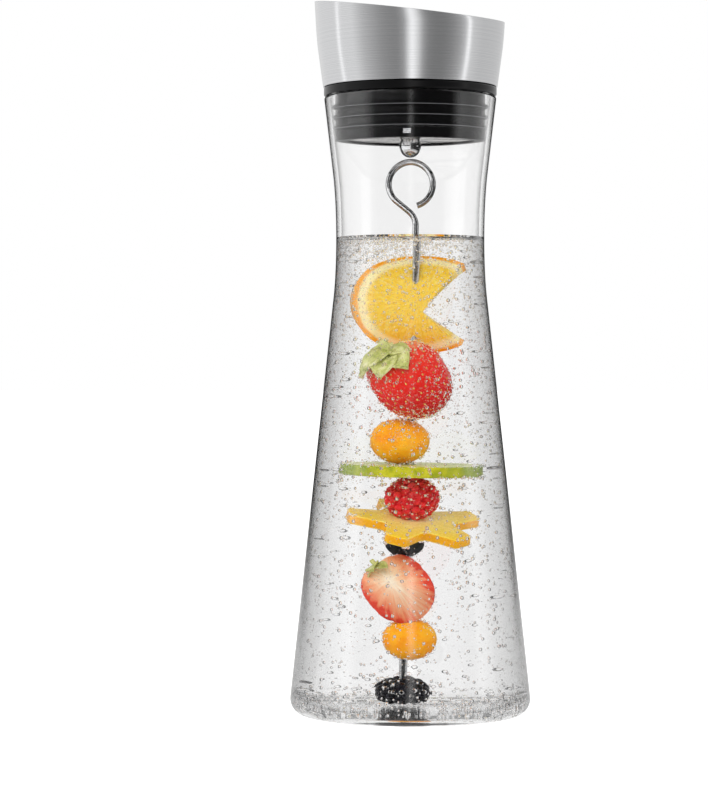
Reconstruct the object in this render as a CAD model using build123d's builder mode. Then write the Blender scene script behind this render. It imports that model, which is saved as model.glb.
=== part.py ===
from build123d import *
import os
from math import asin, cos, degrees, radians, sin, sqrt, tan

# Fruit infuser pitcher: a glass carafe, a pour lid with a tilting flap, and a fruit skewer that hangs
# from the flap's ball. Millimetres, +Z up, origin at the centre of the base, front towards -Y.

os.makedirs("parts", exist_ok=True)

# Glass carafe: a cone that sweeps through a waist into a flared mouth
glass_wall = 2.2
floor_thickness = 3.2
base_radius = 51.1
base_corner_radius = 7.0
inner_corner_radius = 6.0
foot_ring_width = 6.0
base_hollow = 0.8
mouth_flare_height = 58.0
waist_radius = 29.25
waist_sweep_radius = 229.0
mouth_radius = 36.0
rim_round = 0.9

# Clearances
rim_gap = 0.3
neck_gap = 0.3
bond_gap = 0.1
pin_fit = 0.05
flap_gap = 0.3
stop_gap = 0.2
magnet_gap = 0.4
pierce_fit = 0.05
fruit_gap = 0.3

# Pour lid: silicone sleeve, plastic core and steel collar with a slanted top
flange_thickness = 3.7
flange_overhang = 0.1
flange_round = 0.8
plug_depth = 19.4
plug_wall = 2.7
sleeve_wall = 1.7
lower_ring_height = 4.1
lower_ring_wall = 4.58
lip_count = 3
lip_pitch = 4.2
lip_rise = 1.6
lip_edge = 0.7
spigot_height = 6.5
funnel_wall = 1.6
funnel_floor = 1.8
collar_sheet = 0.8
collar_overhang = 0.3
collar_rim_radius = 40.1
collar_blank_height = 38.0
collar_swell = 0.75
collar_slant = 8.0
collar_slant_heading = -37.0
collar_middle_height = 31.6

# Pour flap: a steel disc on two pivot pins, with a ball below it
flap_sheet = 0.8
flap_recess = 0.55
lug_length = 4.0
lug_width = 3.4
lug_edge_gap = 0.8
pivot_radius = 0.8
pivot_rise = 1.5
pivot_grip = 4.2
stop_tab_width = 3.1
stop_tab_height = 1.9
stop_tab_reach = 2.5
stop_tab_shift = -1.3
ball_radius = 4.5
ball_drop = 2.45
screw_radius = 1.25
screw_depth = 5.0
screw_head_radius = 2.6
screw_head_height = 1.5
screw_head_round = 0.5

# Fruit skewer: one bent wire, hanging a little out of plumb from the ball
stem_above_fruit = 11.72
wire_radius = 1.25
eye_radius = 9.25
eye_shift = 0.6
eye_start_angle = -72.0
eye_end_angle = 232.0
stem_bend_radius = 8.0
stem_shift = 3.1
hang_tilt = 1.4
tip_height = 7.0
tip_length = 4.0
tip_flat_radius = 0.4

# Fruit, from the tip upwards: sizes, and how far each one sits beside the stem
bramble_radius = 8.8
bramble_half_height = 6.0
bramble_below_tip = 2.7
bare_stem = 6.7
small_physalis_radius = 8.6
small_physalis_shift = 1.7
half_strawberry_length = 25.0
half_strawberry_radius = 11.2
half_strawberry_calyx = 2.8
half_strawberry_lean = 38.0
half_strawberry_sink = 1.0
half_strawberry_shift = -2.0
half_strawberry_forward = 4.5
blueberry_radius = 6.2
blueberry_half_height = 5.2
blueberry_shift = -0.8
star_radius = 22.0
star_notch_radius = 11.5
star_thickness = 4.0
star_tip_width = 8.0
star_tip_round = 1.5
star_lean = 19.0
star_roll = 9.0
star_turn = 37.0
star_shift = 1.9
star_points = 5
raspberry_radius = 8.8
raspberry_half_height = 8.4
raspberry_shift = 1.0
lime_radius = 22.6
lime_thickness = 4.5
lime_shift = 0.4
large_physalis_radius = 9.4
large_physalis_shift = -3.4
strawberry_length = 31.0
strawberry_radius = 13.0
strawberry_calyx = 3.4
strawberry_lean = 28.0
strawberry_forward = 9.4
berry_belly = 0.15
berry_tip_slope = 0.3
leaf_count = 6
leaf_reach = 2.6
leaf_sheet = 0.7
leaf_lift = 0.3
leaf_droop = 8.0
orange_radius = 22.5
orange_thickness = 4.5
orange_curl_radius = 33.0
orange_shift = 1.9
orange_bulge = 3.1
orange_drop = 3.2
orange_overlap = 3.6
orange_wedge_start = -47.0
orange_wedge_end = 62.0
orange_wedge_across = 0.6
orange_wedge_drop = 4.2


def glass_inside(height):
    """Inner radius of the flared mouth at a height above the base."""
    flare = (mouth_radius - waist_radius) / mouth_flare_height
    return mouth_radius - glass_wall - flare * (glass_height - height)


def berry_reach(radius, half_height):
    """From the middle of a round berry to a flat that is tilted as the star-shaped slice is."""
    return sqrt(radius**2 * (1 - star_slope**2) + (half_height * star_slope) ** 2)


# Heights of the fruit above the tip, each one resting on the one below it
bramble_height = bramble_half_height - bramble_below_tip
small_physalis_height = bramble_height + bramble_half_height + bare_stem + small_physalis_radius
half_strawberry_bottom = small_physalis_height + small_physalis_radius + fruit_gap
half_strawberry_height = half_strawberry_bottom + half_strawberry_length / 2 - half_strawberry_sink
blueberry_height = half_strawberry_bottom + half_strawberry_length + fruit_gap + blueberry_half_height
star_slope = cos(radians(star_lean)) * cos(radians(star_roll))
star_rest = star_thickness / 2 + fruit_gap
under_star = berry_reach(blueberry_radius, blueberry_half_height) + star_rest
over_star = berry_reach(raspberry_radius, raspberry_half_height) + star_rest
star_height = blueberry_height + under_star / star_slope
raspberry_height = star_height + over_star / star_slope
lime_height = raspberry_height + raspberry_half_height + fruit_gap + lime_thickness / 2
large_physalis_height = lime_height + lime_thickness / 2 + fruit_gap + large_physalis_radius
strawberry_height = large_physalis_height + large_physalis_radius + fruit_gap + strawberry_length / 2
orange_half_height = orange_curl_radius * sin(orange_radius / orange_curl_radius)
orange_height = strawberry_height + strawberry_length / 2 - orange_overlap + orange_half_height

# The wire from the ball down, in its own plane: an open eye, a short slope back to the middle and a bend
eye_height = -(ball_radius + magnet_gap + wire_radius + eye_radius)
slope_angle = eye_end_angle - 270.0
slope_x = cos(radians(slope_angle))
slope_y = sin(radians(slope_angle))
slope_start_x = eye_shift + eye_radius * cos(radians(eye_end_angle))
slope_start_y = eye_height + eye_radius * sin(radians(eye_end_angle))
slope_run = (stem_shift - slope_start_x - stem_bend_radius * (1 + slope_y)) / slope_x
bend_start = (slope_start_x + slope_run * slope_x, slope_start_y + slope_run * slope_y)
stem_top = (stem_shift, bend_start[1] - stem_bend_radius * slope_x)
wire_start_x = eye_shift + eye_radius * cos(radians(eye_start_angle))
wire_start_y = eye_height + eye_radius * sin(radians(eye_start_angle))

# The carafe is as tall as the skewer needs: stem, eye, ball, flap and plug, one above the other
stem_length = orange_height + orange_half_height + stem_above_fruit
tip_drop = stem_length - stem_top[1]
ball_height = tip_height + tip_drop
flap_bottom = ball_height + ball_drop
flap_top = flap_bottom + flap_sheet
pivot_height = flap_top + pivot_rise
stop_tab_bottom = flap_top + stop_gap
plug_bottom = flap_bottom - flap_recess
lower_ring_top = plug_bottom + lower_ring_height
flange_bottom = plug_bottom + plug_depth
flange_top = flange_bottom + flange_thickness
spigot_top = flange_top + spigot_height
glass_height = flange_bottom - rim_gap
waist_height = glass_height - mouth_flare_height

# Radii of the lid and the flap, from the mouth inwards
flange_radius = mouth_radius + flange_overhang
collar_radius = flange_radius + collar_overhang
spigot_radius = collar_radius - collar_sheet - bond_gap
lower_ring_radius = glass_inside(plug_bottom) - neck_gap
bore_radius = lower_ring_radius - lower_ring_wall
flap_radius = sqrt((bore_radius - flap_gap) ** 2 - (pivot_height - flap_bottom) ** 2)
plug_radius = bore_radius + plug_wall
sleeve_bore = plug_radius + bond_gap
sleeve_radius = sleeve_bore + sleeve_wall

# One walled profile turned round the axis, with a shallow hollow under the base
with BuildPart() as glass_carafe:
    with BuildSketch(Plane.XZ):
        with BuildLine():
            FilletPolyline(
                (0, base_hollow),
                (base_radius - base_corner_radius - foot_ring_width, 0),
                (base_radius, 0),
                (waist_radius, waist_height),
                (mouth_radius, glass_height),
                (mouth_radius - glass_wall, glass_height),
                (waist_radius - glass_wall, waist_height),
                (base_radius - glass_wall, floor_thickness),
                (0, floor_thickness + base_hollow),
                radius=[
                    0,
                    0,
                    base_corner_radius,
                    waist_sweep_radius,
                    rim_round,
                    rim_round,
                    waist_sweep_radius + glass_wall,
                    inner_corner_radius,
                    0,
                ],
                close=True,
            )
        make_face()
    revolve(axis=Axis.Z)

# Flared sheet ring, bulging a little, cut off along a slanted plane
slant_plane = Plane(
    origin=(0, 0, flange_top + collar_middle_height),
    z_dir=Vector(0, 0, 1).rotate(Axis.Y, collar_slant).rotate(Axis.Z, collar_slant_heading),
)
collar_top = flange_top + collar_blank_height
collar_middle = (flange_top + collar_top) / 2
collar_middle_radius = (collar_radius + collar_rim_radius) / 2 + collar_swell
with BuildPart() as steel_collar:
    with BuildSketch(Plane.XZ):
        with BuildLine():
            ThreePointArc(
                (collar_radius, flange_top),
                (collar_middle_radius, collar_middle),
                (collar_rim_radius, collar_top),
            )
            ThreePointArc(
                (collar_radius - collar_sheet, flange_top),
                (collar_middle_radius - collar_sheet, collar_middle),
                (collar_rim_radius - collar_sheet, collar_top),
            )
            Line((collar_radius - collar_sheet, flange_top), (collar_radius, flange_top))
            Line((collar_rim_radius - collar_sheet, collar_top), (collar_rim_radius, collar_top))
        make_face()
    revolve(axis=Axis.Z)
    split(bisect_by=slant_plane, keep=Keep.BOTTOM)

# Plastic core: a tube with a lower ring, and a spigot with a funnel that the collar is pressed on
with BuildPart() as stopper_core:
    with BuildSketch(Plane.XZ):
        with BuildLine():
            Polyline(
                (bore_radius, plug_bottom),
                (lower_ring_radius, plug_bottom),
                (lower_ring_radius, lower_ring_top),
                (plug_radius, lower_ring_top),
                (plug_radius, flange_top),
                (spigot_radius, flange_top),
                (spigot_radius, spigot_top),
                (spigot_radius - funnel_wall, spigot_top),
                (bore_radius, flange_top + funnel_floor),
                close=True,
            )
        make_face()
    revolve(axis=Axis.Z)
    with BuildSketch(Plane.YZ):
        with Locations((0, pivot_height)):
            Circle(pivot_radius + pin_fit)
    extrude(amount=lower_ring_radius + plug_wall, both=True, mode=Mode.SUBTRACT)
    with BuildSketch(Plane.XZ):
        with Locations((stop_tab_shift, stop_tab_bottom + stop_tab_height / 2)):
            Rectangle(stop_tab_width + 2 * bond_gap, stop_tab_height + 2 * bond_gap)
    extrude(amount=lower_ring_radius + plug_wall, mode=Mode.SUBTRACT)

# Silicone sleeve: a flange on the glass rim and soft lips that point up along the neck
lip_heights = [lower_ring_top + lip_rise + lip_pitch * lip for lip in range(lip_count)]
sleeve_points = [(sleeve_bore, lower_ring_top)]
for lip_height in lip_heights:
    sleeve_points.append((sleeve_radius, lip_height - lip_rise))
    sleeve_points.append((glass_inside(lip_height - lip_edge) - neck_gap, lip_height - lip_edge))
    sleeve_points.append((glass_inside(lip_height - lip_edge) - neck_gap, lip_height))
    sleeve_points.append((sleeve_radius, lip_height + lip_edge))
sleeve_points.append((sleeve_radius, flange_bottom))
sleeve_points.append((flange_radius, flange_bottom))
sleeve_points.append((flange_radius, flange_top))
sleeve_points.append((sleeve_bore, flange_top))
with BuildPart() as sealing_sleeve:
    with BuildSketch(Plane.XZ):
        with BuildLine():
            Polyline(sleeve_points, close=True)
        make_face()
    revolve(axis=Axis.Z)
    flange_edges = sealing_sleeve.edges().filter_by(GeomType.CIRCLE).sort_by(SortBy.RADIUS)[-2:]
    fillet(flange_edges, radius=flange_round)

# Two pins on one line across the lid, from the lower ring into the flap's lugs
lug_outside = flap_radius - lug_edge_gap
lug_inside = lug_outside - lug_length
pin_outside = bore_radius + pivot_grip
with BuildPart() as pivot_pins:
    for side in (1, -1):
        with BuildSketch(Plane.YZ.offset(side * lug_inside)):
            with Locations((0, pivot_height)):
                Circle(pivot_radius)
        extrude(amount=side * (pin_outside - lug_inside))

# Steel tab through the lower ring, over the front edge of the flap, so that the flap only opens one way
with BuildPart() as stop_tab:
    with BuildSketch(Plane.XZ.offset(bore_radius - stop_tab_reach)):
        with Locations((stop_tab_shift, stop_tab_bottom + stop_tab_height / 2)):
            Rectangle(stop_tab_width, stop_tab_height)
    extrude(amount=lower_ring_radius - bore_radius + stop_tab_reach)

# Round sheet flap with a hole for the ball's screw
with BuildPart() as flap_disc:
    with BuildSketch(Plane.XY.offset(flap_bottom)):
        Circle(flap_radius)
        Circle(screw_radius + pin_fit, mode=Mode.SUBTRACT)
    extrude(amount=flap_sheet)

# Two lugs on top of the flap, each with a bore for its pin
with BuildPart() as hinge_lugs:
    for side in (1, -1):
        with BuildSketch(Plane.YZ.offset(side * lug_inside)):
            with Locations((0, flap_top + pivot_rise / 2)):
                Rectangle(lug_width, pivot_rise)
            with Locations((0, pivot_height)):
                Circle(lug_width / 2)
                Circle(pivot_radius + pin_fit, mode=Mode.SUBTRACT)
            with Locations((0, flap_top - lug_width / 2)):
                Rectangle(lug_width, lug_width, mode=Mode.SUBTRACT)
        extrude(amount=side * lug_length)

# Ball with a flat on top that seats on the flap, and a blind hole for the screw
with BuildPart() as ball_knob:
    with Locations((0, 0, ball_height)):
        Sphere(ball_radius)
    split(bisect_by=Plane.XY.offset(flap_bottom), keep=Keep.BOTTOM)
    with BuildSketch(Plane.XY.offset(flap_bottom)):
        Circle(screw_radius + pin_fit)
    extrude(amount=-(screw_depth + pin_fit), mode=Mode.SUBTRACT)

# Pan-head screw down through the flap into the ball
with BuildPart() as knob_screw:
    with BuildSketch(Plane.XY.offset(flap_top)):
        Circle(screw_head_radius)
    extrude(amount=screw_head_height)
    fillet(knob_screw.edges().group_by(Axis.Z)[-1], radius=screw_head_round)
    with BuildSketch(Plane.XY.offset(flap_top)):
        Circle(screw_radius)
    extrude(amount=-(flap_sheet + screw_depth))

# The skewer's own plane: x to the right, y up along the stem, seen from the front
hang_plane = Plane(
    origin=(0, 0, ball_height),
    x_dir=Vector(1, 0, 0).rotate(Axis.Y, hang_tilt),
    z_dir=(0, -1, 0),
)
tip_plane = Plane(
    origin=hang_plane.from_local_coords((stem_shift, -tip_drop, 0)),
    x_dir=hang_plane.x_dir,
    z_dir=hang_plane.y_dir,
)


def beside_stem(height, across=0, forward=0):
    """Plane square to the stem, so far above its tip, with its origin moved to the right and the front."""
    return Plane(
        origin=tip_plane.from_local_coords((across, -forward, height)),
        x_dir=tip_plane.x_dir,
        z_dir=tip_plane.z_dir,
    )


# One wire: an open eye under the ball, a short slope back to the middle, a bend and a long straight stem
wire_heading = hang_plane.x_dir * -sin(radians(eye_start_angle))
wire_heading = wire_heading + hang_plane.y_dir * cos(radians(eye_start_angle))
with BuildPart() as fruit_skewer:
    with BuildLine(hang_plane) as wire_path:
        CenterArc((eye_shift, eye_height), eye_radius, eye_start_angle, eye_end_angle - eye_start_angle)
        Line((slope_start_x, slope_start_y), bend_start)
        JernArc(bend_start, (slope_x, slope_y), stem_bend_radius, -90.0 - slope_angle)
        Line(stem_top, (stem_shift, tip_length - tip_drop))
    wire_start = hang_plane.from_local_coords((wire_start_x, wire_start_y, 0))
    with BuildSketch(Plane(origin=wire_start, z_dir=wire_heading)):
        Circle(wire_radius)
    sweep(path=wire_path.wires()[0])
    with Locations(tip_plane):
        Cone(tip_flat_radius, wire_radius, tip_length, align=(Align.CENTER, Align.CENTER, Align.MIN))
hole_radius = wire_radius + pierce_fit
upright = (Align.CENTER, Align.CENTER, Align.MIN)

# Flattened berry on the tip, with a blind hole
with BuildPart() as bramble:
    with BuildSketch(Plane(tip_plane.origin, x_dir=tip_plane.x_dir, z_dir=hang_plane.z_dir)):
        with Locations((0, bramble_height)):
            Ellipse(bramble_radius, bramble_half_height)
        with Locations((-bramble_radius, bramble_height)):
            Rectangle(2 * bramble_radius, 4 * bramble_half_height, mode=Mode.SUBTRACT)
    revolve(axis=Axis(tip_plane.origin, tip_plane.z_dir))
    with Locations(tip_plane.offset(-pierce_fit)):
        Cylinder(hole_radius, stem_length, align=upright, mode=Mode.SUBTRACT)

# Round golden berries
with BuildPart() as small_physalis:
    with Locations(beside_stem(small_physalis_height, small_physalis_shift).rotated((0, 0, 90))):
        Sphere(small_physalis_radius)
    with Locations(tip_plane):
        Cylinder(hole_radius, stem_length, align=upright, mode=Mode.SUBTRACT)
with BuildPart() as large_physalis:
    with Locations(beside_stem(large_physalis_height, large_physalis_shift).rotated((0, 0, 90))):
        Sphere(large_physalis_radius)
    with Locations(tip_plane):
        Cylinder(hole_radius, stem_length, align=upright, mode=Mode.SUBTRACT)

# Flattened round berry
blueberry_plane = beside_stem(blueberry_height, blueberry_shift)
with BuildPart() as blueberry:
    with BuildSketch(Plane(blueberry_plane.origin, x_dir=tip_plane.x_dir, z_dir=hang_plane.z_dir)):
        Ellipse(blueberry_radius, blueberry_half_height)
        with Locations((-blueberry_radius, 0)):
            Rectangle(2 * blueberry_radius, 4 * blueberry_half_height, mode=Mode.SUBTRACT)
    revolve(axis=Axis(blueberry_plane.origin, blueberry_plane.z_dir))
    with Locations(tip_plane):
        Cylinder(hole_radius, stem_length, align=upright, mode=Mode.SUBTRACT)

# Half a strawberry, its cut face to the front, leaning with its calyx up to the left
half_plane = beside_stem(half_strawberry_height, half_strawberry_shift, half_strawberry_forward)
half_plane = half_plane.rotated((0, -half_strawberry_lean, 0))
half_end = half_strawberry_length / 2
half_profile = Plane(half_plane.origin, x_dir=half_plane.x_dir, z_dir=-half_plane.y_dir)
with BuildPart() as strawberry_half:
    with BuildSketch(half_profile):
        with BuildLine():
            Line((0, -half_end), (0, half_end))
            Line((0, half_end), (half_strawberry_calyx, half_end))
            Spline(
                (half_strawberry_calyx, half_end),
                (half_strawberry_radius, half_end * berry_belly),
                (0, -half_end),
                tangents=[(1, 0), (-1, -berry_tip_slope)],
            )
        make_face()
    revolve(axis=Axis(half_plane.origin, half_plane.z_dir), revolution_arc=180)
    with Locations(tip_plane):
        Cylinder(hole_radius, stem_length, align=upright, mode=Mode.SUBTRACT)

# Star-shaped slice with blunt points, leaning down to the front and a little to the right
star_plane = beside_stem(star_height, star_shift).rotated((star_lean, star_roll, 0))
star_tip_half_angle = degrees(asin(star_tip_width / 2 / star_radius))
with BuildPart() as starfruit_slice:
    with BuildSketch(star_plane.offset(-star_thickness / 2)):
        with BuildLine():
            star_corners = []
            for point in range(star_points):
                for corner_radius, corner_turn in (
                    (star_radius, -star_tip_half_angle),
                    (star_radius, star_tip_half_angle),
                    (star_notch_radius, 180.0 / star_points),
                ):
                    corner = Vector(corner_radius, 0)
                    star_corners.append(
                        corner.rotate(Axis.Z, star_turn + point * 360.0 / star_points + corner_turn)
                    )
            FilletPolyline(star_corners, radius=star_tip_round, close=True)
        make_face()
    extrude(amount=star_thickness)
    with Locations(tip_plane):
        Cylinder(hole_radius, stem_length, align=upright, mode=Mode.SUBTRACT)

# Egg-shaped berry
raspberry_plane = beside_stem(raspberry_height, raspberry_shift)
with BuildPart() as raspberry:
    with BuildSketch(Plane(raspberry_plane.origin, x_dir=tip_plane.x_dir, z_dir=hang_plane.z_dir)):
        Ellipse(raspberry_radius, raspberry_half_height)
        with Locations((-raspberry_radius, 0)):
            Rectangle(2 * raspberry_radius, 4 * raspberry_half_height, mode=Mode.SUBTRACT)
    revolve(axis=Axis(raspberry_plane.origin, raspberry_plane.z_dir))
    with Locations(tip_plane):
        Cylinder(hole_radius, stem_length, align=upright, mode=Mode.SUBTRACT)

# Round slice, square to the stem
with BuildPart() as lime_slice:
    with BuildSketch(beside_stem(lime_height - lime_thickness / 2, lime_shift)):
        Circle(lime_radius)
    extrude(amount=lime_thickness)
    with Locations(tip_plane):
        Cylinder(hole_radius, stem_length, align=upright, mode=Mode.SUBTRACT)

# Whole strawberry, pierced behind its middle, leaning with its calyx up to the left
berry_plane = beside_stem(strawberry_height, 0, strawberry_forward).rotated((0, -strawberry_lean, 0))
berry_end = strawberry_length / 2
with BuildPart() as strawberry:
    with BuildSketch(Plane(berry_plane.origin, x_dir=berry_plane.x_dir, z_dir=-berry_plane.y_dir)):
        with BuildLine():
            Line((0, -berry_end), (0, berry_end))
            Line((0, berry_end), (strawberry_calyx, berry_end))
            Spline(
                (strawberry_calyx, berry_end),
                (strawberry_radius, berry_end * berry_belly),
                (0, -berry_end),
                tangents=[(1, 0), (-1, -berry_tip_slope)],
            )
        make_face()
    revolve(axis=Axis(berry_plane.origin, berry_plane.z_dir))
    with Locations(tip_plane):
        Cylinder(hole_radius, stem_length, align=upright, mode=Mode.SUBTRACT)

# Curled slice with a wedge cut out, sewn on to the stem so that its top leans back
orange_plane = beside_stem(orange_height, orange_shift)
orange_face = Plane(orange_plane.origin, x_dir=orange_plane.x_dir, z_dir=-orange_plane.y_dir)
orange_side = Plane(orange_plane.origin, x_dir=orange_plane.y_dir, z_dir=orange_plane.x_dir)
wedge_point = Vector(orange_wedge_across, -orange_wedge_drop)
wedge_arm = Vector(2 * orange_radius, 0)
with BuildPart() as orange_slice:
    with BuildSketch(orange_side):
        with Locations((orange_curl_radius - orange_bulge, -orange_drop)):
            Circle(orange_curl_radius)
            Circle(orange_curl_radius - orange_thickness, mode=Mode.SUBTRACT)
    extrude(amount=2 * orange_radius, both=True)
    with BuildSketch(orange_face):
        Ellipse(orange_radius, orange_half_height)
        with BuildLine():
            Polyline(
                wedge_point,
                wedge_point + wedge_arm.rotate(Axis.Z, orange_wedge_start),
                wedge_point + wedge_arm,
                wedge_point + wedge_arm.rotate(Axis.Z, orange_wedge_end),
                close=True,
            )
        make_face(mode=Mode.SUBTRACT)
    extrude(amount=orange_curl_radius / 2, both=True, mode=Mode.INTERSECT)
    with Locations(tip_plane):
        Cylinder(hole_radius, stem_length, align=upright, mode=Mode.SUBTRACT)

# Leaf caps: pointed leaves that droop from a small hub on the flat end of each strawberry
for cap_name, cap_plane, hub_radius in (
    ("strawberry_leaves", berry_plane.offset(berry_end + leaf_lift), strawberry_calyx),
    ("half_strawberry_leaves", half_plane.offset(half_end + leaf_lift), half_strawberry_calyx),
):
    leaf_tip = hub_radius * leaf_reach
    leaf_fall = (leaf_tip - hub_radius) * tan(radians(leaf_droop))
    with BuildPart() as leaf_cap:
        with BuildSketch(Plane(cap_plane.origin, x_dir=cap_plane.x_dir, z_dir=-cap_plane.y_dir)):
            with BuildLine():
                Polyline(
                    (0, 0),
                    (hub_radius, 0),
                    (leaf_tip, -leaf_fall),
                    (leaf_tip, leaf_sheet - leaf_fall),
                    (hub_radius, leaf_sheet),
                    (0, leaf_sheet),
                    close=True,
                )
            make_face()
        revolve(axis=Axis(cap_plane.origin, cap_plane.z_dir))
        with BuildSketch(cap_plane):
            with BuildLine():
                leaf_corners = []
                for corner in range(2 * leaf_count):
                    corner_radius = leaf_tip if corner % 2 == 0 else hub_radius
                    corner_angle = radians(corner * 180.0 / leaf_count)
                    leaf_corners.append(
                        (corner_radius * cos(corner_angle), corner_radius * sin(corner_angle))
                    )
                Polyline(leaf_corners, close=True)
            make_face()
        extrude(amount=leaf_fall + leaf_sheet, both=True, mode=Mode.INTERSECT)
    leaf_cap.part.label = cap_name
    export_step(leaf_cap.part, f"parts/{cap_name}.step")

for name, piece in (
    ("glass_carafe", glass_carafe),
    ("steel_collar", steel_collar),
    ("stopper_core", stopper_core),
    ("sealing_sleeve", sealing_sleeve),
    ("pivot_pins", pivot_pins),
    ("stop_tab", stop_tab),
    ("flap_disc", flap_disc),
    ("hinge_lugs", hinge_lugs),
    ("ball_knob", ball_knob),
    ("knob_screw", knob_screw),
    ("fruit_skewer", fruit_skewer),
    ("bramble", bramble),
    ("small_physalis", small_physalis),
    ("strawberry_half", strawberry_half),
    ("blueberry", blueberry),
    ("starfruit_slice", starfruit_slice),
    ("raspberry", raspberry),
    ("lime_slice", lime_slice),
    ("large_physalis", large_physalis),
    ("strawberry", strawberry),
    ("orange_slice", orange_slice),
):
    piece.part.label = name
    export_step(piece.part, f"parts/{name}.step")
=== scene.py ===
import math
import random

import bmesh
import bpy
from mathutils import Euler, Matrix, Vector, kdtree
from mathutils.bvhtree import BVHTree


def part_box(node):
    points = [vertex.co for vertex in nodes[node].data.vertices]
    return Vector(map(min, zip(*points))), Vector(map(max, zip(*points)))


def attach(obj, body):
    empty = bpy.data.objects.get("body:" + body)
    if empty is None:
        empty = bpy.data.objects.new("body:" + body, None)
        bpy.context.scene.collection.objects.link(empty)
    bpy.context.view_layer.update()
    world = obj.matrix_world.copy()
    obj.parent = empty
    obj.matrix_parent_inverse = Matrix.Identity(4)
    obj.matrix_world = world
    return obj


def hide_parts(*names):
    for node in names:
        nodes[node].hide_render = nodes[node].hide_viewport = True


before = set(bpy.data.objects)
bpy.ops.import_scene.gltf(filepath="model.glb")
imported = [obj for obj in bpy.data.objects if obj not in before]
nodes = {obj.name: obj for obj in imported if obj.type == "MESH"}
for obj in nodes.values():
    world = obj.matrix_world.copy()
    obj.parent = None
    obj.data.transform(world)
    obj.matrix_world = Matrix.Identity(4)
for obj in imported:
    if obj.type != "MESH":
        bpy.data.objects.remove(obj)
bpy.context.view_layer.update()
scene = bpy.context.scene
scene.view_settings.view_transform = "Standard"
scene.cycles.max_bounces = 32
scene.cycles.transmission_bounces = 32
scene.cycles.transparent_max_bounces = 32

# Camera: a long lens about 1.2 m in front of the carafe and a little above its middle, turned so that the
# carafe stands to the right of the picture's centre.
image_width = 708
focal_length_in_pixels = 2857
look_down, look_left = math.radians(0.441), math.radians(1.127)
camera_data = bpy.data.cameras.new("camera")
camera_data.sensor_fit = "HORIZONTAL"
camera_data.sensor_width = 36
camera_data.lens = camera_data.sensor_width * focal_length_in_pixels / image_width
camera = bpy.data.objects.new("camera", camera_data)
camera.location = (0, -1.195, 0.1407)
camera.rotation_euler = (math.radians(90) - look_down, 0, look_left)
scene.collection.objects.link(camera)
scene.camera = camera


# Room: white wherever it is seen directly or through glass. Steel and gloss mirror a ring of soft boxes
# round the table, bright at the left, in front and at the right, with dim gaps between them. What is mirrored
# inside the glass sees the same boxes between black flags.
class Signal:
    """A number or colour in a shader, taken from an output of a node. Arithmetic on it adds nodes."""

    def __init__(self, node, output=0):
        self.tree = node.id_data
        self.socket = node.outputs[output]

    def maths(self, operation, other=0.0):
        return Signal(add_node(self.tree, "Math", {0: self, 1: other}, operation=operation))

    def __add__(self, other):
        return self.maths("ADD", other)

    def __sub__(self, other):
        return self.maths("SUBTRACT", other)

    def __mul__(self, other):
        return self.maths("MULTIPLY", other)

    def __truediv__(self, other):
        return self.maths("DIVIDE", other)

    def __lt__(self, other):
        return self.maths("LESS_THAN", other)

    def __gt__(self, other):
        return self.maths("GREATER_THAN", other)

    def __abs__(self):
        return self.maths("ABSOLUTE")


def add_node(tree, kind, inputs=(), **settings):
    """Adds a shader node. Of its inputs, a number or colour is set, and a signal or another node is linked."""
    node = tree.nodes.new("ShaderNode" + kind)
    for name, value in settings.items():
        setattr(node, name, value)
    for name, value in dict(inputs).items():
        if isinstance(value, Signal):
            tree.links.new(value.socket, node.inputs[name])
        elif isinstance(value, bpy.types.Node):
            tree.links.new(value.outputs[0], node.inputs[name])
        else:
            node.inputs[name].default_value = value
    return node


def tone(*parts):
    """A node's colour, from one linear grey or from red, green and blue as a screen shows them, 0 to 255."""
    if len(parts) == 1:
        return (*parts * 3, 1)
    parts = [part / 255 for part in parts]
    return (*(part / 12.92 if part <= 0.04045 else ((part + 0.055) / 1.055) ** 2.4 for part in parts), 1)


def ramp(value, stops):
    """A colour ramp. Each stop is a position, followed by what tone takes."""
    node = add_node(value.tree, "ValToRGB", {"Fac": value})
    while len(node.color_ramp.elements) < len(stops):
        node.color_ramp.elements.new(0.5)
    for element, (position, *colour) in zip(node.color_ramp.elements, stops):
        element.position = position
        element.color = tone(*colour)
    return Signal(node)


def blend(share, first, second):
    """Mixes two colours."""
    return Signal(add_node(share.tree, "Mix", {0: share, 6: first, 7: second}, data_type="RGBA"), 2)


def mix_shader(share, first, second):
    """Mixes two surfaces or backgrounds."""
    return add_node(share.tree, "MixShader", {0: share, 1: first, 2: second})


def split(vector):
    """The three parts of a vector."""
    node = add_node(vector.tree, "SeparateXYZ", {0: vector})
    return [Signal(node, part) for part in "XYZ"]


room = bpy.data.worlds.new("studio_room")
room.use_nodes = True
room.cycles.sampling_method = "NONE"
scene.world = room
tree = room.node_tree
tree.nodes.clear()
east, north, rise = split(Signal(add_node(tree, "TexCoord"), "Generated"))
bearing = east.maths("ARCTAN2", north * -1.0) / (2 * math.pi) + 0.5
soft_boxes = ramp(bearing, [
    (0.00, 0.75), (0.08, 0.90), (0.16, 0.94), (0.214, 0.94), (0.224, 1.7), (0.234, 0.96), (0.29, 0.96),
    (0.333, 0.66), (0.365, 0.53), (0.40, 0.40), (0.425, 0.35), (0.455, 0.32), (0.480, 0.45), (0.505, 1.5),
    (0.522, 1.1), (0.545, 0.45), (0.565, 0.30), (0.59, 0.265), (0.62, 0.27), (0.651, 0.34), (0.683, 0.5),
    (0.705, 0.75), (0.716, 1.8), (0.728, 0.85), (0.78, 0.72), (1.00, 0.75),
])


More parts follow.
